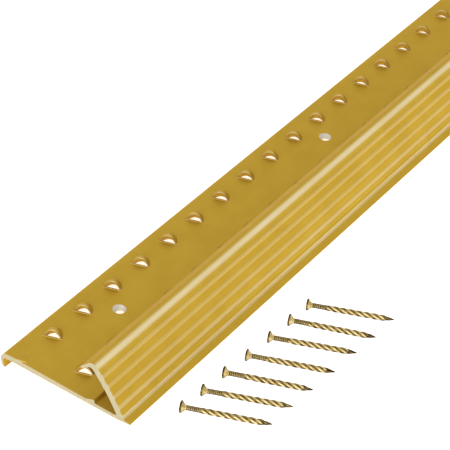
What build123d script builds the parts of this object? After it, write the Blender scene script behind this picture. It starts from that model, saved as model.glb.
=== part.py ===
from build123d import *
import math
import os

# Threshold strip: toothed base plate, fold-over fluted cover and seven screw nails.
# All sizes are in millimetres and degrees.
# X runs along the strip, +Y points to the carpet side, +Z points up from the floor.
# The origin is on the floor at mid length, under the front foot.
# Profile points are written as (back, up): back is the distance behind the section's zero
# line, which the toe passes by toe_reach.

# overall strip
strip_length = 914.4
strip_width = 36.2
toe_reach = 0.3
back_edge = strip_width - toe_reach
foot_end = 3.4
front_to_origin = foot_end / 2

# base plate
underside_rise = 2.55
underside_end = 32.6
plate_top_front = 0.98
plate_top_back = 3.96
plate_top_end = 32.6
plate_slope = (plate_top_back - plate_top_front) / (plate_top_end - foot_end)
toe_height = 0.22
nose_back = 1.3
nose_height = 0.63

# back leg: a round shoulder runs down into a thin leg that curls in at the bottom
leg_thickness = 0.68
leg_widest_up = 2.1
leg_curl = 0.48
shoulder_back = 34.2
shoulder_up = 4.02
shoulder_middle = (35.36, 3.4)

# carpet bead: a low ramp that ends in a step facing the front
bead_ramp_start = 11.75
bead_peak = 9.62
bead_step = 9.3
bead_height = 0.88

# bend line of the cover
bend_back = 2.48
bend_up = 1.3
bend_radius = 0.83
bend_clearance = 0.05

# cover flange: a gentle arc from the bend line, a tight roll and a short lip
cover_half_wall = 0.80
cover_root_angle = 66.0
cover_shoulder_angle = 52.0
cover_arc_length = 11.9
roll_radius = 1.45
roll_wall_share = 0.94
lip_angle = -36.0
lip_length = 2.1
lip_half_wall = 0.36

# flute ribs on the outside of the cover
rib_distances = [0.0, 2.0, 4.7, 7.4, 9.9]
rib_height = 0.22
rib_half_width = 0.55

# teeth
tooth_pitch = 11.1125
tooth_turn = 21.0
hood_radius = 2.30
hood_depth = 3.4
hood_wall = 0.45
hood_axis_drop = 0.30
hood_root = 0.30
back_row_back = 29.80
back_row_first = 11.1
front_row_back = 17.0
front_row_first = 6.25
back_row_count = 81
front_row_count = 82
crushed_tooth_height = 0.40
crushed_tooth_depth = 2.6

# nail holes, one in every eighth place of the front row
teeth_per_nail_hole = 8
nail_hole_place = 2
nail_hole_back = 23.8
nail_hole_count = 10
nail_hole_radius = 1.05
countersink_radius = 1.60

# screw nails
nail_length = 20.7
nail_head_radius = 1.45
nail_head_thickness = 0.35
nail_cone_length = 1.05
nail_neck_radius = 0.60
nail_neck_length = 3.2
nail_shank_radius = 0.72
nail_point_length = 2.0
nail_tip_radius = 0.08

# where each nail lies: (distance from the near end, distance in front of the strip, turn)
nail_places = [
    (10.0, 6.6, -69.3),
    (17.2, 7.2, -68.6),
    (25.0, 7.6, -70.0),
    (32.9, 8.4, -69.6),
    (41.2, 8.9, -69.0),
    (49.1, 9.3, -70.6),
    (56.4, 9.6, -68.8),
]


def section_point(back, up):
    """A point of the cross section in the row's Y and Z."""
    return (back - front_to_origin, up)


def plate_top_at(back):
    """Height of the plate's top surface at a distance behind the front edge."""
    return plate_top_front + plate_slope * (back - foot_end)


def extrude_section(section_face):
    """Extrude a face drawn in the YZ plane over the whole length of the strip."""
    start = Plane.YZ.offset(-strip_length / 2)
    return extrude(start * section_face, amount=strip_length)


def base_section():
    """Cross section of the plate with its foot, toe, bead and back leg."""
    outer_foot = back_edge - leg_curl
    inner_foot = outer_foot - leg_thickness
    inner_widest = back_edge - leg_thickness
    edges = [
        Polyline(
            section_point(inner_widest - 0.5, underside_rise + 0.1),
            section_point(underside_end, underside_rise),
            section_point(foot_end, 0.0),
            section_point(-toe_reach, 0.0),
            section_point(-toe_reach, toe_height),
            section_point(nose_back, nose_height),
            section_point(foot_end, plate_top_front),
            section_point(bead_step, plate_top_at(bead_step)),
            section_point(bead_step + 0.08, plate_top_at(bead_step) + bead_height - 0.12),
            section_point(bead_peak, plate_top_at(bead_peak) + bead_height),
            section_point(bead_ramp_start, plate_top_at(bead_ramp_start)),
            section_point(plate_top_end, plate_top_back),
            section_point(shoulder_back, shoulder_up),
        ),
        ThreePointArc(
            section_point(shoulder_back, shoulder_up),
            section_point(*shoulder_middle),
            section_point(back_edge, leg_widest_up),
        ),
        ThreePointArc(
            section_point(back_edge, leg_widest_up),
            section_point(back_edge - leg_curl / 4, leg_widest_up / 2),
            section_point(outer_foot, 0.0),
        ),
        Line(section_point(outer_foot, 0.0), section_point(inner_foot, 0.0)),
        ThreePointArc(
            section_point(inner_foot, 0.0),
            section_point(inner_widest - leg_curl / 4, leg_widest_up / 2),
            section_point(inner_widest, leg_widest_up),
        ),
        Line(
            section_point(inner_widest, leg_widest_up),
            section_point(inner_widest - 0.5, underside_rise + 0.1),
        ),
    ]
    section = make_face(edges)
    socket_radius = bend_radius + bend_clearance
    socket = Pos(*section_point(bend_back, bend_up)) * Circle(socket_radius)
    return section - socket


def tooth_shell(radius, depth):
    """Half of a long round dome about the local X axis, closed towards +X."""
    quarter = Ellipse(depth, radius) & Pos(depth / 2, radius / 2) * Rectangle(depth, radius)
    return revolve(Plane.XZ * quarter, axis=Axis.X)


def tooth_place(along, back):
    """Frame of a tooth: origin on the plate at its slit, +X into the closed end."""
    tilt = math.degrees(math.atan(plate_slope))
    seat = Pos(along - strip_length / 2, back - front_to_origin, plate_top_at(back))
    return seat * Rot(tilt, 0, 0) * Rot(0, 0, tooth_turn)


def tooth_positions():
    """Places of every whole tooth as (distance along the strip, distance back)."""
    places = []
    for number in range(back_row_count):
        places.append((back_row_first + number * tooth_pitch, back_row_back))
    for number in range(front_row_count):
        if number % teeth_per_nail_hole != nail_hole_place:
            places.append((front_row_first + number * tooth_pitch, front_row_back))
    return places


def crushed_tooth():
    """The first tooth of the back row, cut through by the end and pressed shut."""
    dome = tooth_shell(hood_radius, crushed_tooth_depth)
    bump = tooth_place(back_row_first - tooth_pitch, back_row_back)
    bump *= Pos(0, 0, crushed_tooth_height - hood_radius) * dome
    size = 4 * hood_radius
    keep = Box(size, size, size)
    rise = plate_top_at(back_row_back) - hood_root + size / 2
    return bump & Pos((size - strip_length) / 2, back_row_back - front_to_origin, rise) * keep


def nail_hole_cutters():
    """Straight holes with a countersink, all along +Z."""
    cutters = []
    for number in range(nail_hole_count):
        place = nail_hole_place + number * teeth_per_nail_hole
        along = front_row_first + place * tooth_pitch - strip_length / 2
        back = nail_hole_back - front_to_origin
        top = plate_top_at(nail_hole_back)
        sink_depth = countersink_radius - nail_hole_radius
        cutters.append(Pos(along, back, top) * Cylinder(nail_hole_radius, 8))
        sink = Cone(nail_hole_radius, countersink_radius + 0.4, sink_depth + 0.4)
        cutters.append(Pos(along, back, top - sink_depth + (sink_depth + 0.4) / 2) * sink)
    return cutters


def make_base_plate():
    """Base plate with both rows of teeth and the nail holes."""
    plate = extrude_section(base_section())
    outer = Pos(0, 0, -hood_axis_drop) * tooth_shell(hood_radius, hood_depth)
    above = Pos(0, 0, hood_depth / 2 - hood_root) * Box(4 * hood_depth, 4 * hood_radius, hood_depth)
    outer = outer & above
    core = tooth_shell(hood_radius - hood_wall, hood_depth - hood_wall)
    core = Pos(0, 0, -hood_axis_drop) * core
    hoods = [tooth_place(along, back) * outer for along, back in tooth_positions()]
    cores = [tooth_place(along, back) * core for along, back in tooth_positions()]
    plate = plate.fuse(crushed_tooth(), *hoods)
    plate = plate.cut(*cores, *nail_hole_cutters())
    return plate


def flange_point(distance, offset):
    """A point of the flange, by distance from the bend line and offset to the outside."""
    turn_per_mm = math.radians(cover_root_angle - cover_shoulder_angle) / cover_arc_length
    arc_radius = 1 / turn_per_mm
    start = math.radians(cover_root_angle)
    heading = start - distance * turn_per_mm
    centre_back = bend_back + arc_radius * math.sin(start)
    centre_up = bend_up - arc_radius * math.cos(start)
    reach = arc_radius + offset
    back = centre_back - reach * math.sin(heading)
    up = centre_up + reach * math.cos(heading)
    return section_point(back, up)


def roll_point(heading_degrees, offset):
    """A point of the rolled top, by its heading and offset to the outside."""
    shoulder = math.radians(cover_shoulder_angle)
    heading = math.radians(heading_degrees)
    start_y, start_z = flange_point(cover_arc_length, 0.0)
    centre_y = start_y + roll_radius * math.sin(shoulder)
    centre_z = start_z - roll_radius * math.cos(shoulder)
    reach = roll_radius + offset
    return (centre_y - reach * math.sin(heading), centre_z + reach * math.cos(heading))


def lip_point(distance, offset):
    """A point of the lip, by distance from the end of the roll and offset to the top."""
    heading = math.radians(lip_angle)
    start_y, start_z = roll_point(lip_angle, offset)
    return (start_y + distance * math.cos(heading), start_z + distance * math.sin(heading))


def rib_section(distance):
    """Round rib of one flute, standing a little out of the flange's outside."""
    radius = (rib_half_width ** 2 + rib_height ** 2) / (2 * rib_height)
    centre = flange_point(distance, cover_half_wall + rib_height - radius)
    return Pos(*centre) * Circle(radius)


def cover_section():
    """Cross section of the cover: round root, flange, ribs, roll and lip."""
    wall = cover_half_wall
    middle = cover_arc_length / 2
    roll_middle = (cover_shoulder_angle + lip_angle) / 2
    roll_wall = wall * roll_wall_share
    thin = lip_half_wall
    tip_y, tip_z = lip_point(lip_length, 0.0)
    tip_reach = thin * 0.9
    heading = math.radians(lip_angle)
    tip_nose = (tip_y + tip_reach * math.cos(heading), tip_z + tip_reach * math.sin(heading))
    inside_start = 0.75
    edges = [
        ThreePointArc(
            flange_point(0, wall),
            flange_point(middle, wall),
            flange_point(cover_arc_length, wall),
        ),
        Spline(
            flange_point(cover_arc_length, wall),
            roll_point(roll_middle, roll_wall),
            roll_point(lip_angle, thin),
        ),
        Line(roll_point(lip_angle, thin), lip_point(lip_length, thin)),
        ThreePointArc(lip_point(lip_length, thin), tip_nose, lip_point(lip_length, -thin)),
        Line(lip_point(lip_length, -thin), roll_point(lip_angle, -thin)),
        Spline(
            roll_point(lip_angle, -thin),
            roll_point(roll_middle, -roll_wall),
            flange_point(cover_arc_length, -wall),
        ),
        ThreePointArc(
            flange_point(cover_arc_length, -wall),
            flange_point(middle, -wall),
            flange_point(inside_start, -wall),
        ),
        Line(flange_point(inside_start, -wall), flange_point(0, -wall * 0.6)),
        Line(flange_point(0, -wall * 0.6), flange_point(0, wall)),
    ]
    section = make_face(edges)
    section += Pos(*section_point(bend_back, bend_up)) * Circle(bend_radius)
    for distance in rib_distances:
        section += rib_section(distance)
    return section


def make_fluted_cover():
    """Fluted cover flange over the whole length."""
    return extrude_section(cover_section())


def make_nail(near_end, in_front, turn):
    """Screw nail lying on the floor, its head towards the strip."""
    point_start = nail_length - nail_point_length
    cone_end = nail_head_thickness + nail_cone_length
    neck_end = cone_end + nail_neck_length
    outline = [
        (0, 0),
        (nail_head_radius, 0),
        (nail_head_radius, nail_head_thickness),
        (nail_neck_radius, cone_end),
        (nail_neck_radius, neck_end),
        (nail_shank_radius, neck_end + 0.3),
        (nail_shank_radius, point_start),
        (nail_tip_radius, nail_length),
        (0, nail_length),
    ]
    half = make_face(Polyline(*outline, close=True))
    nail = revolve(Plane.XZ * half, axis=Axis.Z)
    droop = math.degrees(math.asin((nail_head_radius - nail_shank_radius) / point_start))
    lying = Rot(0, 90 + droop, 0) * nail
    lift = nail_head_radius * math.cos(math.radians(droop))
    place = Pos(near_end - strip_length / 2, -in_front - front_to_origin, lift)
    return place * Rot(0, 0, turn) * lying


def save(shape, node):
    """Write one piece as its own STEP file."""
    export_step(shape, f"parts/{node}.step")


os.makedirs("parts", exist_ok=True)
save(make_base_plate(), "base_plate")
save(make_fluted_cover(), "fluted_cover")
for number, (near_end, in_front, turn) in enumerate(nail_places, start=1):
    save(make_nail(near_end, in_front, turn), f"nail_{number}")
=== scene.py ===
import math

import bmesh
import bpy
from mathutils import Matrix, Vector


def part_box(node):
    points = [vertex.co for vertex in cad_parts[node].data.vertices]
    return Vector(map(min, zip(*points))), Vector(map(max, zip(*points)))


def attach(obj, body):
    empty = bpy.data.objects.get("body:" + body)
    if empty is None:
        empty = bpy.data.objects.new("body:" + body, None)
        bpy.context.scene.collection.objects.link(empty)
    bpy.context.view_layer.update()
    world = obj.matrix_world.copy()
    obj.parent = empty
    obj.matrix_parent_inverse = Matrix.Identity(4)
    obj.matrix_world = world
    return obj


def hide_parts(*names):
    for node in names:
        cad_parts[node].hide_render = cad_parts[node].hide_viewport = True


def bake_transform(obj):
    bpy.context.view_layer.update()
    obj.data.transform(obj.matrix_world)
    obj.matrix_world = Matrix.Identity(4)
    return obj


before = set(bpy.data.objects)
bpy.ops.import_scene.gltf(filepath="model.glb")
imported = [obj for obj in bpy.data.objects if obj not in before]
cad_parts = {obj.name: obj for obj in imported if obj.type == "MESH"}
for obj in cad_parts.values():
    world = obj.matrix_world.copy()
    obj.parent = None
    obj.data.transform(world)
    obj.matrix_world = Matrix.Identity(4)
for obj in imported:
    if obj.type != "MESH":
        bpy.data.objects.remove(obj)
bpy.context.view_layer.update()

# Lengths below are in millimetres and become metres through MM.
# A section point is (back, up): back is the distance behind the section's zero line, which
# the toe passes by toe_reach.
MM = 0.001
strip_low, strip_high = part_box("base_plate")
strip_start = strip_low.x
toe_reach = 0.3
front_edge = strip_low.y + toe_reach * MM
strip_length = (strip_high.x - strip_low.x) / MM
strip_width = (strip_high.y - front_edge) / MM

# base plate, foot and back leg; bead_flat has the ends of the bead's flat top beside its peak
foot_end = 3.4
underside_end = 32.6
underside_rise = 2.55
plate_top_front = 0.98
plate_top_end = 32.6
plate_top_back = 3.96
plate_slope = (plate_top_back - plate_top_front) / (plate_top_end - foot_end)
toe_height = 0.22
nose_back = 1.3
nose_height = 0.63
leg_thickness = 0.68
leg_widest_up = 2.1
leg_curl = 0.48
shoulder_back = 34.2
shoulder_up = 4.02
shoulder_middle = (35.36, 3.4)
bead_ramp_start = 11.75
bead_peak = 9.62
bead_step = 9.3
bead_height = 0.88
bead_top = bead_height - 0.03
bead_flat = (0.12, -0.08)

# cover
bend_back = 2.48
bend_up = 1.3
cover_half_wall = 0.80
cover_root_angle = 66.0
cover_shoulder_angle = 52.0
cover_arc_length = 11.9
roll_radius = 1.45
roll_wall_share = 0.94
lip_angle = -36.0
lip_length = 2.1
lip_half_wall = 0.36
rib_distances = [0.0, 2.0, 4.7, 7.4, 9.9]
# Pale paint on the ribs, where and how strongly: rubbed wear and painted highlight; rib 0's pale band
# sits below the rib.
rib_wear_and_highlight_distances = [-0.45, 2.0, 4.7, 7.4, 9.9]
rib_wear_and_highlight = [0.8, 0.36, 0.24, 0.2, 0.22]
rib_height = 0.22
rib_half_width = 0.55
rib_radius = (rib_half_width ** 2 + rib_height ** 2) / (2 * rib_height)
# Pale paint on the ridge, by heading round the roll: rubbed wear and painted highlight.
ridge_wear_and_highlight = 0.8
ridge_wear_and_highlight_headings = (12.0, 34.0, 46.0, 68.0)

# teeth and nail holes
tooth_pitch = 11.1125
tooth_turn = 21.0
hood_half_width = 2.30
hood_height = 2.0
hood_depth = 3.4
hood_wall = 0.45
hood_root = 0.30
hood_sink = 0.06
hood_rim = 0.16
core_bottom = -3.2
burr_reach = 0.55
burr_height = 0.16
back_row_back = 29.80
back_row_first = 11.1
front_row_back = 17.0
front_row_first = 6.25
cell_count = 81
cell_start = 4.2
crushed_half_width = 1.6
crushed_height = 0.40
crushed_depth = 2.6
crushed_rim = 0.1
teeth_per_nail_hole = 8
nail_hole_place = 2
nail_hole_back = 23.8
nail_hole_radius = 1.05
countersink_radius = 1.60

# material slots of the strip's mesh: gold is 0
SAWN = 1
DRILLED = 2


def plate_top_at(back):
    """Height of the plate's top surface at a distance behind the front edge."""
    return plate_top_front + plate_slope * (back - foot_end)


def arc_through(start, middle, end, steps):
    """Points of the circular arc through three section points, both ends included."""
    ax, ay = start
    bx, by = middle
    cx, cy = end
    d = 2 * (ax * (by - cy) + bx * (cy - ay) + cx * (ay - by))
    a2, b2, c2 = ax * ax + ay * ay, bx * bx + by * by, cx * cx + cy * cy
    ux = (a2 * (by - cy) + b2 * (cy - ay) + c2 * (ay - by)) / d
    uy = (a2 * (cx - bx) + b2 * (ax - cx) + c2 * (bx - ax)) / d
    first = math.atan2(ay - uy, ax - ux)
    between = math.atan2(by - uy, bx - ux)
    last = math.atan2(cy - uy, cx - ux)
    turn = (last - first) % math.tau
    if (between - first) % math.tau > turn:
        turn -= math.tau
    radius = math.hypot(ax - ux, ay - uy)
    points = []
    for step in range(steps + 1):
        angle = first + turn * step / steps
        points.append((ux + radius * math.cos(angle), uy + radius * math.sin(angle)))
    return points


def flange_point(distance, offset):
    """A point of the flange, by distance from the bend line and offset to the outside."""
    turn_per_mm = math.radians(cover_root_angle - cover_shoulder_angle) / cover_arc_length
    arc_radius = 1 / turn_per_mm
    start = math.radians(cover_root_angle)
    heading = start - distance * turn_per_mm
    centre_back = bend_back + arc_radius * math.sin(start)
    centre_up = bend_up - arc_radius * math.cos(start)
    reach = arc_radius + offset
    return (centre_back - reach * math.sin(heading), centre_up + reach * math.cos(heading))


def roll_point(heading_degrees, offset):
    """A point of the rolled top, by its heading and offset to the outside."""
    shoulder = math.radians(cover_shoulder_angle)
    heading = math.radians(heading_degrees)
    start_back, start_up = flange_point(cover_arc_length, 0.0)
    centre_back = start_back + roll_radius * math.sin(shoulder)
    centre_up = start_up - roll_radius * math.cos(shoulder)
    reach = roll_radius + offset
    return (centre_back - reach * math.sin(heading), centre_up + reach * math.cos(heading))


def roll_wall(share):
    """Half the wall along the roll: full at the flange (0) and thin at the lip (1)."""
    full, middle, thin = cover_half_wall, cover_half_wall * roll_wall_share, lip_half_wall
    first = full + (4 * middle - 3 * full - thin) * share
    return first + 2 * (full + thin - 2 * middle) * share ** 2


def lip_point(distance, offset):
    """A point of the lip, by distance from the end of the roll and offset to the top."""
    heading = math.radians(lip_angle)
    start_back, start_up = roll_point(lip_angle, offset)
    return (start_back + distance * math.cos(heading), start_up + distance * math.sin(heading))


def rib_bump(distance):
    """How far the outside of the flange stands out in a rib at this distance."""
    for centre in rib_distances:
        beside = distance - centre
        if abs(beside) < rib_half_width:
            return math.sqrt(rib_radius ** 2 - beside ** 2) - (rib_radius - rib_height)
    return 0.0


def plate_outline():
    """Section points from the toe along the bottom, round the leg and back over the top."""
    outer_foot = strip_width - leg_curl
    inner_foot = outer_foot - leg_thickness
    inner_widest = strip_width - leg_thickness
    points = [(-toe_reach, 0.0), (foot_end, 0.0), (underside_end, underside_rise)]
    points.append((inner_widest - 0.5, underside_rise + 0.1))
    inner_middle = (inner_widest - leg_curl / 4, leg_widest_up / 2)
    points += arc_through((inner_widest, leg_widest_up), inner_middle, (inner_foot, 0.0), 8)
    outer_middle = (strip_width - leg_curl / 4, leg_widest_up / 2)
    points += arc_through((outer_foot, 0.0), outer_middle, (strip_width, leg_widest_up), 8)
    shoulder = (shoulder_back, shoulder_up)
    points += arc_through((strip_width, leg_widest_up), shoulder_middle, shoulder, 16)[1:]
    points.append((plate_top_end, plate_top_back))
    points.append((bead_ramp_start, plate_top_at(bead_ramp_start)))
    for beside in bead_flat:
        points.append((bead_peak + beside, plate_top_at(bead_peak) + bead_top))
    points.append((bead_step + 0.06, plate_top_at(bead_step) + bead_height - 0.2))
    points.append((bead_step, plate_top_at(bead_step) + 0.05))
    points.append((bead_step - 0.08, plate_top_at(bead_step)))
    return points


def cover_outline():
    """Section points up the inside of the cover, round the lip and down the outside."""
    points = [(foot_end + 0.55, plate_top_at(foot_end + 0.55)), (foot_end + 0.22, 1.09)]
    inside_start = 0.40
    inside_steps = 24
    for step in range(inside_steps + 1):
        distance = inside_start + (cover_arc_length - inside_start) * step / inside_steps
        points.append(flange_point(distance, -cover_half_wall))
    roll_steps = 14
    sweep = cover_shoulder_angle - lip_angle
    for step in range(1, roll_steps + 1):
        share = step / roll_steps
        points.append(roll_point(cover_shoulder_angle - sweep * share, -roll_wall(share)))
    tip_back, tip_up = lip_point(lip_length, 0.0)
    nose_steps = 12
    for step in range(nose_steps + 1):
        angle = math.radians(lip_angle - 90 + 180 * step / nose_steps)
        reach = lip_half_wall
        points.append((tip_back + reach * math.cos(angle), tip_up + reach * math.sin(angle)))
    for step in range(roll_steps * 2 + 1):
        share = step / (roll_steps * 2)
        points.append(roll_point(lip_angle + sweep * share, roll_wall(1 - share)))
    outside_steps = 132
    for step in range(1, outside_steps + 1):
        distance = cover_arc_length * (1 - step / outside_steps)
        points.append(flange_point(distance, cover_half_wall + rib_bump(distance)))
    return points


def nose_outline():
    """Section points from the lowest rib round the bend and down to the toe."""
    centre_back, centre_up = flange_point(0.0, cover_half_wall + rib_height - rib_radius)
    points = []
    nose_steps = 6
    for step in range(1, nose_steps + 1):
        angle = math.radians(90 + cover_root_angle + 60 * step / nose_steps)
        back = centre_back + rib_radius * math.cos(angle)
        up = centre_up + rib_radius * math.sin(angle)
        points.append((back, up))
    points.append((nose_back, nose_height))
    points.append((0.12 - toe_reach, toe_height + 0.03))
    points.append((-toe_reach, toe_height - 0.06))
    return points


# The strip is shaped in millimetres from its near end and front edge, then set in place.
to_row_frame = Matrix.Translation((strip_start, front_edge, 0)) @ Matrix.Scale(MM, 4)


def place(back, up, along):
    """A point of the strip's own millimetre frame from a section point and a distance along."""
    return Vector((along, back, up))


def mesh_object(name, bm, turn_outward=True):
    """A new object in the scene from a bmesh, which is freed."""
    if turn_outward:
        bmesh.ops.recalc_face_normals(bm, faces=bm.faces)
    mesh = bpy.data.meshes.new(name)
    bm.to_mesh(mesh)
    bm.free()
    piece = bpy.data.objects.new(name, mesh)
    bpy.context.scene.collection.objects.link(piece)
    return piece


def section_solid(outline, start, end):
    """Closed length of the strip's section between two distances along the strip."""
    bm = bmesh.new()
    rings = []
    for along in (start, end):
        rings.append([bm.verts.new(place(back, up, along)) for back, up in outline])
    count = len(outline)
    for i in range(count):
        j = (i + 1) % count
        bm.faces.new((rings[0][i], rings[0][j], rings[1][j], rings[1][i]))
    bm.faces.new(rings[0])
    bm.faces.new(rings[1])
    return mesh_object("cell", bm)


def tooth_matrix(along, back):
    """Frame of a tooth: origin on the plate at its slit, +X into the closed end."""
    tilt = Matrix.Rotation(math.atan(plate_slope), 4, "X")
    turn = Matrix.Rotation(math.radians(tooth_turn), 4, "Z")
    return Matrix.Translation(place(back, plate_top_at(back), along)) @ tilt @ turn


def hood_solid(half_width, height, depth, bottom, front, roundness, rim):
    """Closed half dome over a slit: a soft bump cut off flat at its open side."""
    across = 20
    along = (0.0, 0.03, 0.07, 0.13, 0.2, 0.3, 0.4, 0.5, 0.6, 0.7, 0.8, 0.9, 1.0)
    bm = bmesh.new()
    tops = []
    bottoms = []
    for i in range(across + 1):
        share = -math.cos(math.pi * i / across)
        side = math.sqrt(max(0.0, 1 - share * share))
        column = []
        for s in along:
            u = s * depth * side
            rho = min(1.0, (u / depth) ** 2 + share ** 2)
            w = (height + hood_sink) * (1 - rho) ** roundness - hood_sink
            if w > 0 and u < rim:
                w -= min(w, rim - math.sqrt(rim ** 2 - (rim - u) ** 2))
            column.append((u + front, share * half_width, w))
        tops.append(column)
        bottoms.append([(u, v, bottom) for u, v, w in column])
    top_verts = [[bm.verts.new(p) for p in column] for column in tops]
    low_verts = [[bm.verts.new(p) for p in column] for column in bottoms]
    last = len(along) - 1
    for i in range(across):
        for j in range(last):
            a, b = top_verts[i], top_verts[i + 1]
            bm.faces.new((a[j], b[j], b[j + 1], a[j + 1]))
            a, b = low_verts[i], low_verts[i + 1]
            bm.faces.new((a[j], a[j + 1], b[j + 1], b[j]))
        for j in (0, last):
            bm.faces.new((top_verts[i][j], low_verts[i][j], low_verts[i + 1][j], top_verts[i + 1][j]))
    for i in (0, across):
        for j in range(last):
            bm.faces.new((top_verts[i][j], top_verts[i][j + 1], low_verts[i][j + 1], low_verts[i][j]))
    bmesh.ops.remove_doubles(bm, verts=bm.verts, dist=1e-5)
    bmesh.ops.dissolve_degenerate(bm, edges=bm.edges, dist=1e-5)
    return bm


def tooth_hood(along, back):
    """Outside of one tooth."""
    bm = hood_solid(hood_half_width, hood_height, hood_depth, -hood_root, 0.0, 1.0, hood_rim)
    bm.transform(tooth_matrix(along, back))
    return mesh_object("hood", bm)


def tooth_core(along, back):
    """Room inside one tooth, open at the slit and down through the plate."""
    half_width = hood_half_width - hood_wall
    height = hood_height - hood_wall
    depth = hood_depth - hood_wall
    bm = hood_solid(half_width, height, depth, core_bottom, -0.04, 0.85, 0.0)
    bm.transform(tooth_matrix(along, back))
    return mesh_object("core", bm)


def slit_burr(along, back):
    """Low rounded burr that the punch left along the front of a tooth's slit."""
    bm = bmesh.new()
    bmesh.ops.create_uvsphere(bm, u_segments=28, v_segments=10, radius=1.0)
    bm.transform(Matrix.Diagonal((burr_reach / 2, hood_half_width + 0.25, burr_height, 1)))
    bm.transform(Matrix.Translation((-burr_reach / 2 + 0.02, 0, 0)))
    bm.transform(tooth_matrix(along, back))
    return mesh_object("burr", bm)


def crushed_tooth():
    """The first tooth of the back row, cut through by the end and pressed shut."""
    bm = hood_solid(crushed_half_width, crushed_height, crushed_depth, -hood_root, 0.0, 0.8, crushed_rim)
    bm.transform(tooth_matrix(back_row_first - tooth_pitch, back_row_back))
    plane = place(0.0, 0.0, 0.001)
    geometry = bm.verts[:] + bm.edges[:] + bm.faces[:]
    cut = bmesh.ops.bisect_plane(bm, geom=geometry, plane_co=plane, plane_no=(-1, 0, 0), clear_outer=True)
    open_edges = [e for e in cut["geom_cut"] if isinstance(e, bmesh.types.BMEdge)]
    bmesh.ops.contextual_create(bm, geom=open_edges)
    return mesh_object("hood", bm)


def nail_hole_cutter(along):
    """Straight hole with a countersink, down through the plate."""
    top = plate_top_at(nail_hole_back)
    sink = countersink_radius - nail_hole_radius
    profile = [(0.0, -4.0), (nail_hole_radius, -4.0), (nail_hole_radius, -sink)]
    profile += [(countersink_radius + 0.4, 0.4), (0.0, 0.4)]
    bm = bmesh.new()
    points = [bm.verts.new(place(nail_hole_back, top + up, along + r)) for r, up in profile]
    edges = [bm.edges.new(pair) for pair in zip(points, points[1:])]
    bmesh.ops.spin(
        bm, geom=points + edges, cent=place(nail_hole_back, top, along), axis=(0, 0, 1),
        angle=math.tau, steps=40, use_merge=True,
    )
    bmesh.ops.remove_doubles(bm, verts=bm.verts, dist=1e-5)
    return mesh_object("hole", bm)


def combine(piece, tools, operation):
    """Apply exact booleans of the tool objects to the piece and delete the tools."""
    for tool in tools:
        modifier = piece.modifiers.new("shape", "BOOLEAN")
        modifier.object = tool
        modifier.operation = operation
        modifier.solver = "EXACT"
    evaluated = piece.evaluated_get(bpy.context.evaluated_depsgraph_get())
    mesh = bpy.data.meshes.new_from_object(evaluated)
    piece.modifiers.clear()
    piece.data = mesh
    for tool in tools:
        bpy.data.objects.remove(tool)


def strip_cell(outline, start, end, teeth, hole_along=None, extra=()):
    """One length of the strip as a mesh with open ends, its teeth and its nail hole."""
    cell = section_solid(outline, start, end)
    combine(cell, [tooth_hood(*tooth) for tooth in teeth] + list(extra), "UNION")
    combine(cell, [slit_burr(*tooth) for tooth in teeth], "UNION")
    cutters = [tooth_core(*tooth) for tooth in teeth]
    if hole_along is not None:
        cutters.append(nail_hole_cutter(hole_along))
    if cutters:
        combine(cell, cutters, "DIFFERENCE")
    return cell


def join_cell(bm, cell, shift, keep_start=False, keep_end=False):
    """Add a cell's faces to the strip, moved along it, without the caps between cells."""
    part = bmesh.new()
    part.from_mesh(cell.data)
    bmesh.ops.recalc_face_normals(part, faces=part.faces)
    low = min(v.co.x for v in part.verts)
    high = max(v.co.x for v in part.verts)
    for face in list(part.faces):
        at_start = all(abs(v.co.x - low) < 1e-4 for v in face.verts)
        at_end = all(abs(v.co.x - high) < 1e-4 for v in face.verts)
        if (at_start and not keep_start) or (at_end and not keep_end):
            part.faces.remove(face)
        elif at_start or at_end:
            face.material_index = SAWN
    part.transform(Matrix.Translation((shift, 0, 0)))
    mesh = bpy.data.meshes.new("joined")
    part.to_mesh(mesh)
    part.free()
    bm.from_mesh(mesh)
    bpy.data.meshes.remove(mesh)


def rise_and_fall(value, start, full, last_full, end):
    """Smooth bump of a value: 0 up to start, 1 from full to last_full, 0 again after end."""
    up = min(1.0, max(0.0, (value - start) / (full - start)))
    down = min(1.0, max(0.0, (end - value) / (end - last_full)))
    share = min(up, down)
    return share * share * (3 - 2 * share)


def wear_and_highlight_amount(back, up):
    """How pale a point of the cover's outside is painted, 0 to 1: rubbed wear and painted highlight on
    the ridge and the rib tops.
    """
    root_back, root_up = flange_point(0.0, 0.0)
    turn_per_mm = math.radians(cover_root_angle - cover_shoulder_angle) / cover_arc_length
    arc_radius = 1 / turn_per_mm
    start = math.radians(cover_root_angle)
    centre_back = root_back + arc_radius * math.sin(start)
    centre_up = root_up - arc_radius * math.cos(start)
    heading = math.atan2(centre_back - back, up - centre_up)
    distance = (start - heading) / turn_per_mm
    offset = math.hypot(back - centre_back, up - centre_up) - arc_radius
    if offset < 0:
        return 0.0
    if distance > cover_arc_length - 1.0:
        shoulder_back, shoulder_up = flange_point(cover_arc_length, 0.0)
        shoulder = math.radians(cover_shoulder_angle)
        roll_back = shoulder_back + roll_radius * math.sin(shoulder)
        roll_up = shoulder_up - roll_radius * math.cos(shoulder)
        on_roll = math.degrees(math.atan2(roll_back - back, up - roll_up))
        return ridge_wear_and_highlight * rise_and_fall(on_roll, *ridge_wear_and_highlight_headings)
    for centre, wear in zip(rib_wear_and_highlight_distances, rib_wear_and_highlight):
        beside = distance - centre
        if abs(beside) < rib_half_width:
            return wear * rise_and_fall(beside, -rib_half_width - 0.1, -0.3, 0.3, rib_half_width + 0.1)
    return 0.0


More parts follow.
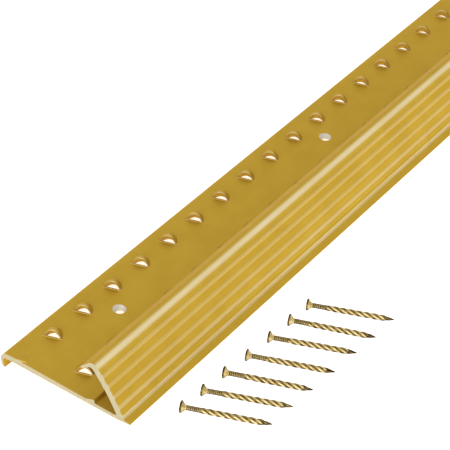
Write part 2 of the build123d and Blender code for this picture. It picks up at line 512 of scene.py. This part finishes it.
def tooth_painted_highlight(point):
    """Painted highlight at the nearest tooth, 0 to 1: on its burr, its rim and towards the ends of its
    slit.
    """
    best = 0.0
    for first, back in ((back_row_first, back_row_back), (front_row_first, front_row_back)):
        if abs(point.y - back) > hood_half_width + 1:
            continue
        nearest = first + round((point.x - first) / tooth_pitch) * tooth_pitch
        local = tooth_matrix(nearest, back).inverted() @ point
        # Painted highlight on the burr, brightest towards the slit's ends, and on the hood's rim.
        if -burr_reach < local.x < 0.05 and local.z > 0.02:
            toward_end = min(1.0, abs(local.y) / hood_half_width)
            best = max(best, min(1.0, local.z / burr_height) * (0.25 + 0.5 * toward_end ** 3))
        if -0.05 < local.x < 0.5 and local.z > hood_height - hood_wall:
            best = max(best, 0.3)
    return best


def mark_bare_metal(bm):
    """Set the bare metal of the nail holes and of the sawn-through tooth."""
    pitch = teeth_per_nail_hole * tooth_pitch
    first_hole = front_row_first + nail_hole_place * tooth_pitch
    for face in bm.faces:
        centre = face.calc_center_median()
        beside = (centre.x - first_hole + pitch / 2) % pitch - pitch / 2
        in_sink = math.hypot(beside, centre.y - nail_hole_back) < countersink_radius + 0.02
        if in_sink and -0.5 < face.normal.z < 0.95:
            face.material_index = DRILLED
        if centre.x < 0.01 and abs(face.normal.x) > 0.9:
            face.material_index = SAWN


def weigh_normals(piece):
    """Let large flat faces set the shading of their edges, so that they stay flat."""
    modifier = piece.modifiers.new("normals", "WEIGHTED_NORMAL")
    modifier.keep_sharp = True
    evaluated = piece.evaluated_get(bpy.context.evaluated_depsgraph_get())
    mesh = bpy.data.meshes.new_from_object(evaluated)
    piece.modifiers.clear()
    piece.data = mesh


def make_strip():
    """The whole strip as one mesh: plate, teeth, nail holes and cover."""
    outline = plate_outline() + cover_outline() + nose_outline()
    cell_end = cell_start + tooth_pitch
    back_tooth = (back_row_first, back_row_back)
    front_tooth = (front_row_first, front_row_back)
    end_tooth = (front_row_first + cell_count * tooth_pitch, front_row_back)
    toothed = strip_cell(outline, cell_start, cell_end, [back_tooth, front_tooth])
    holed = strip_cell(outline, cell_start, cell_end, [back_tooth], front_row_first)
    first = strip_cell(outline, 0.0, cell_start, [], None, [crushed_tooth()])
    last = strip_cell(outline, cell_start + cell_count * tooth_pitch, strip_length, [end_tooth])
    bm = bmesh.new()
    join_cell(bm, first, 0.0, keep_start=True)
    for number in range(cell_count):
        is_hole = number % teeth_per_nail_hole == nail_hole_place
        join_cell(bm, holed if is_hole else toothed, number * tooth_pitch)
    join_cell(bm, last, 0.0, keep_end=True)
    bmesh.ops.remove_doubles(bm, verts=bm.verts, dist=1e-3)
    bm.normal_update()
    mark_bare_metal(bm)
    bare_faces = [f for f in bm.faces if f.material_index > 0]
    bmesh.ops.triangulate(bm, faces=bare_faces)
    for cell in (toothed, holed, first, last):
        bpy.data.objects.remove(cell)
    strip = mesh_object("gold_strip", bm, turn_outward=False)
    # Pale paint on the points: rubbed wear and painted highlight on the cover, painted highlight at the
    # teeth.
    wear_and_highlight = strip.data.attributes.new("wear_and_highlight", "FLOAT", "POINT")
    amounts = [max(wear_and_highlight_amount(v.co.y, v.co.z), tooth_painted_highlight(v.co)) for v in strip.data.vertices]
    wear_and_highlight.data.foreach_set("value", amounts)
    strip.data.transform(to_row_frame)
    strip.data.shade_smooth()
    strip.data.set_sharp_from_angle(angle=math.radians(32))
    weigh_normals(strip)
    return strip


strip = make_strip()


# screw nails
nail_length = 20.7
nail_head_radius = 1.45
nail_head_thickness = 0.35
nail_head_bevel = 0.08
nail_cone_length = 1.05
nail_neck_radius = 0.60
nail_neck_length = 3.2
nail_shank_radius = 0.72
nail_point_length = 2.6
flute_count = 4
flute_lead = 7.4
flute_depth = 0.16


def nail_frame(node):
    """Where a CAD nail lies: matrix from the nail's own axis (head at 0, +Z to the tip)."""
    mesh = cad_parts[node].data
    points = [v.co.copy() for v in mesh.vertices]
    tip = min(points, key=lambda p: p.y)
    head = [p for p in points if (p - tip).length > (nail_length - 0.1) * MM]
    top = sum(head, Vector()) / len(head)
    axis = (tip - top).normalized()
    turn = axis.to_track_quat("Z", "Y").to_matrix().to_4x4()
    return Matrix.Translation(top) @ turn @ Matrix.Scale(MM, 4)


def nail_radius(distance, angle, phase):
    """Radius of the nail at a distance from the head's top, round its twisted flutes."""
    cone_end = nail_head_thickness + nail_cone_length
    neck_end = cone_end + nail_neck_length
    if distance < nail_head_bevel:
        return nail_head_radius - 0.06 + 0.06 * distance / nail_head_bevel
    if distance < nail_head_thickness:
        return nail_head_radius
    if distance < cone_end:
        share = (distance - nail_head_thickness) / nail_cone_length
        return nail_head_radius + (nail_neck_radius - nail_head_radius) * math.sin(share * math.pi / 2)
    if distance < neck_end:
        ring = 0.035 * math.cos(math.tau * (distance - cone_end) / 0.42)
        return nail_neck_radius + ring
    fade = min(1.0, (distance - neck_end) / 0.8)
    point = max(0.0, min(1.0, (nail_length - distance) / nail_point_length))
    wave = math.cos(flute_count * (angle - math.tau * distance / flute_lead) + phase)
    radius = nail_neck_radius + (nail_shank_radius - nail_neck_radius) * fade
    radius += flute_depth * fade * (wave * 0.5 - 0.5) * min(1.0, point * 1.6)
    return 0.05 + (radius - 0.05) * point ** 0.8


def nail_shade_amount(distance, depth, under):
    """How much painted shade the plating gets: on the head's rim, down in the flutes and underneath."""
    rim_end = nail_head_thickness + 0.1
    if distance < rim_end:
        return 1.0
    if distance < nail_head_thickness + nail_cone_length:
        return max(0.0, min(0.7, under + 0.2))
    return max(0.0, min(1.0, 0.9 * depth + max(0.0, under + 0.1)))


def make_nail(number):
    """One screw nail with a countersunk head, a ringed neck and a twisted shank."""
    node = f"nail_{number}"
    around = 40
    stations = [0.0, 0.04, nail_head_bevel, 0.2, nail_head_thickness - 0.02, nail_head_thickness]
    distance = nail_head_thickness
    while distance < nail_length - 0.1:
        distance += 0.07 if distance < 5 else 0.12
        stations.append(distance)
    stations[-1] = nail_length
    matrix = nail_frame(node)
    outward = matrix.to_3x3().normalized()
    bm = bmesh.new()
    painted_nail_shade = bm.verts.layers.float.new("painted_nail_shade")
    rings = []
    for distance in stations:
        ring = []
        for i in range(around):
            angle = math.tau * i / around
            radius = nail_radius(distance, angle, number)
            vertex = bm.verts.new((radius * math.cos(angle), radius * math.sin(angle), distance))
            # Painted shade: darker down in the flutes, on the head's rim and on the underside.
            depth = (nail_shank_radius - radius) / flute_depth
            under = -(outward @ Vector((math.cos(angle), math.sin(angle), 0))).z
            vertex[painted_nail_shade] = nail_shade_amount(distance, depth, under)
            ring.append(vertex)
        rings.append(ring)
    for ring, following in zip(rings, rings[1:]):
        for i in range(around):
            j = (i + 1) % around
            bm.faces.new((ring[i], ring[j], following[j], following[i]))
    bm.faces.new(list(reversed(rings[0])))
    bm.faces.new(rings[-1])
    bm.transform(matrix)
    nail = mesh_object(f"screw_{node}", bm)
    nail.data.shade_smooth()
    nail.data.set_sharp_from_angle(angle=math.radians(50))
    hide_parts(node)
    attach(nail, f"loose_nail_{number}")
    return nail


nails = [make_nail(number) for number in range(1, 8)]


def new_material(name):
    """A node material and its Principled shader."""
    material = bpy.data.materials.new(name)
    material.use_nodes = True
    return material, material.node_tree.nodes["Principled BSDF"]


def noise(tree, scale, stretch=(1, 1, 1), detail=3.0):
    """Noise over the surface in metres, drawn out along an axis by a small stretch number."""
    coordinates = tree.nodes.new("ShaderNodeTexCoord")
    mapping = tree.nodes.new("ShaderNodeMapping")
    mapping.inputs["Scale"].default_value = stretch
    texture = tree.nodes.new("ShaderNodeTexNoise")
    texture.inputs["Scale"].default_value = scale
    texture.inputs["Detail"].default_value = detail
    tree.links.new(coordinates.outputs["Object"], mapping.inputs["Vector"])
    tree.links.new(mapping.outputs["Vector"], texture.inputs["Vector"])
    return texture.outputs["Fac"]


def remap(tree, value, low, high, to_low, to_high):
    """Move a value from one range to another, held inside it."""
    node = tree.nodes.new("ShaderNodeMapRange")
    node.inputs["From Min"].default_value = low
    node.inputs["From Max"].default_value = high
    node.inputs["To Min"].default_value = to_low
    node.inputs["To Max"].default_value = to_high
    tree.links.new(value, node.inputs["Value"])
    return node.outputs["Result"]


def multiply(tree, a, b):
    """Product of two values."""
    node = tree.nodes.new("ShaderNodeMath")
    node.operation = "MULTIPLY"
    tree.links.new(a, node.inputs[0])
    tree.links.new(b, node.inputs[1])
    return node.outputs["Value"]


def mix_colours(tree, factor, low, high):
    """Mix two colours by a varying factor; each is a colour or another node's output."""
    node = tree.nodes.new("ShaderNodeMix")
    node.data_type = "RGBA"
    tree.links.new(factor, node.inputs["Factor"])
    for name, colour in (("A", low), ("B", high)):
        socket = next(i for i in node.inputs if i.name == name and i.type == "RGBA")
        if isinstance(colour, tuple):
            socket.default_value = (*colour, 1)
        else:
            tree.links.new(colour, socket)
    return next(o for o in node.outputs if o.type == "RGBA")


def add_bump(tree, shader, height, strength, distance):
    """Bump the shader's normal by a height, with its full depth in metres."""
    bump = tree.nodes.new("ShaderNodeBump")
    bump.inputs["Strength"].default_value = strength
    bump.inputs["Distance"].default_value = distance
    tree.links.new(height, bump.inputs["Height"])
    tree.links.new(bump.outputs["Normal"], shader.inputs["Normal"])


def vertex_value(tree, name):
    """A value stored on the mesh's points."""
    node = tree.nodes.new("ShaderNodeAttribute")
    node.attribute_name = name
    return node.outputs["Fac"]


def gold_material():
    """Satin gold anodised aluminium with die lines along X, and a pale tread that is rubbed wear and
    painted highlight.
    """
    material, shader = new_material("gold_anodised_aluminium")
    tree = material.node_tree
    shader.inputs["Metallic"].default_value = 0.55
    shader.inputs["Specular Tint"].default_value = (0.75, 0.55, 0.15, 1)
    mottle = noise(tree, 160, detail=4)
    shade = remap(tree, mottle, 0.35, 0.65, 0, 1)
    gold = mix_colours(tree, shade, (0.50, 0.312, 0.030), (0.53, 0.340, 0.036))
    # Pale colour mixed in by the painted mask: rubbed wear and painted highlight.
    patches = remap(tree, noise(tree, 300, (0.2, 1, 1)), 0.3, 0.7, 0.75, 1.0)
    wear_and_highlight_mask = multiply(tree, vertex_value(tree, "wear_and_highlight"), patches)
    colour = mix_colours(tree, wear_and_highlight_mask, gold, (0.74, 0.66, 0.43))
    tree.links.new(colour, shader.inputs["Base Color"])
    die_lines = noise(tree, 2500, (0.01, 1, 1), detail=2)
    tree.links.new(remap(tree, die_lines, 0.3, 0.7, 0.40, 0.52), shader.inputs["Roughness"])
    add_bump(tree, shader, die_lines, 0.12, 0.00002)
    return material


def bare_material(name, dark, light):
    """Bare aluminium where it was sawn or drilled, with fine tool marks."""
    material, shader = new_material(name)
    tree = material.node_tree
    shader.inputs["Metallic"].default_value = 0.5
    marks = noise(tree, 3000, (1, 1, 0.05), detail=2)
    colour = mix_colours(tree, remap(tree, marks, 0.3, 0.7, 0, 1), dark, light)
    tree.links.new(colour, shader.inputs["Base Color"])
    tree.links.new(remap(tree, marks, 0.3, 0.7, 0.45, 0.6), shader.inputs["Roughness"])
    add_bump(tree, shader, marks, 0.2, 0.00003)
    return material


def zinc_material():
    """Yellow zinc plate: bright on the ridges, with painted shade in dark olive brown down in the flutes,
    on the head's rim and underneath.
    """
    material, shader = new_material("yellow_zinc_plate")
    tree = material.node_tree
    shader.inputs["Metallic"].default_value = 1.0
    iridescence = remap(tree, noise(tree, 700), 0.35, 0.65, 0, 1)
    bright = mix_colours(tree, iridescence, (0.46, 0.33, 0.11), (0.72, 0.56, 0.26))
    # Painted shade, broken up by noise, mixed towards dark olive brown.
    shade_variation = remap(tree, noise(tree, 1400, detail=4), 0.3, 0.6, 0.6, 1.0)
    painted_nail_shade = multiply(tree, remap(tree, vertex_value(tree, "painted_nail_shade"), 0.3, 0.8, 0, 1), shade_variation)
    colour = mix_colours(tree, painted_nail_shade, bright, (0.035, 0.018, 0.006))
    tree.links.new(colour, shader.inputs["Base Color"])
    tree.links.new(remap(tree, iridescence, 0, 1, 0.22, 0.34), shader.inputs["Roughness"])
    add_bump(tree, shader, noise(tree, 5000), 0.1, 0.00002)
    return material


strip.data.materials.append(gold_material())
strip.data.materials.append(bare_material("sawn_aluminium", (0.40, 0.335, 0.18), (0.48, 0.42, 0.27)))
strip.data.materials.append(bare_material("drilled_aluminium", (0.60, 0.56, 0.46), (0.74, 0.70, 0.60)))
zinc = zinc_material()
for nail in nails:
    nail.data.materials.append(zinc)

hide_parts("base_plate", "fluted_cover")
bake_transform(strip)


def make_camera(target, azimuth, elevation, distance, lens):
    """The camera, looking at the target from an azimuth and elevation in degrees."""
    data = bpy.data.cameras.new("camera")
    camera = bpy.data.objects.new("camera", data)
    bpy.context.scene.collection.objects.link(camera)
    a, e = math.radians(azimuth), math.radians(elevation)
    back = Vector((math.sin(a) * math.cos(e), -math.cos(a) * math.cos(e), math.sin(e)))
    camera.location = target + back * distance
    camera.rotation_euler = back.to_track_quat("Z", "Y").to_euler()
    data.sensor_width = 36
    data.lens = lens
    data.clip_start = 0.01
    data.clip_end = 10
    bpy.context.scene.camera = camera
    return camera


target = Vector((strip_start + 0.0735, front_edge + 0.02537, 0))
make_camera(target, azimuth=-55.401, elevation=35.387, distance=0.49878, lens=161.38)


def make_floor():
    """A plain pale floor that glows a little, as a lit studio table does."""
    bpy.ops.mesh.primitive_plane_add(size=6, location=(0, 0, -0.00002))
    floor = bpy.context.object
    floor.name = "floor"
    material, shader = new_material("studio_floor")
    shader.inputs["Base Color"].default_value = (0.9, 0.9, 0.9, 1)
    shader.inputs["Emission Color"].default_value = (1, 1, 1, 1)
    shader.inputs["Emission Strength"].default_value = 0.8
    floor.data.materials.append(material)


def add_lamp(name, offset, size, energy):
    """Square soft lamp, set off from the target and aimed at it."""
    lamp = bpy.data.lights.new(name, "AREA")
    lamp.energy = energy
    lamp.size = size
    holder = bpy.data.objects.new(name, lamp)
    bpy.context.scene.collection.objects.link(holder)
    holder.location = target + offset
    holder.rotation_euler = (-offset).to_track_quat("-Z", "Y").to_euler()


def make_lights():
    """Soft white surroundings and one large lamp near the camera."""
    world = bpy.data.worlds.new("studio")
    world.use_nodes = True
    world.node_tree.nodes["Background"].inputs["Color"].default_value = (1, 1, 1, 1)
    world.node_tree.nodes["Background"].inputs["Strength"].default_value = 0.9
    bpy.context.scene.world = world
    bpy.context.scene.view_settings.view_transform = "Standard"
    add_lamp("key", Vector((0.75, -0.62, 0.78)), 0.9, 1.0)
    add_lamp("end_fill", Vector((-0.9, -0.25, 0.3)), 0.5, 3)


make_floor()
make_lights()
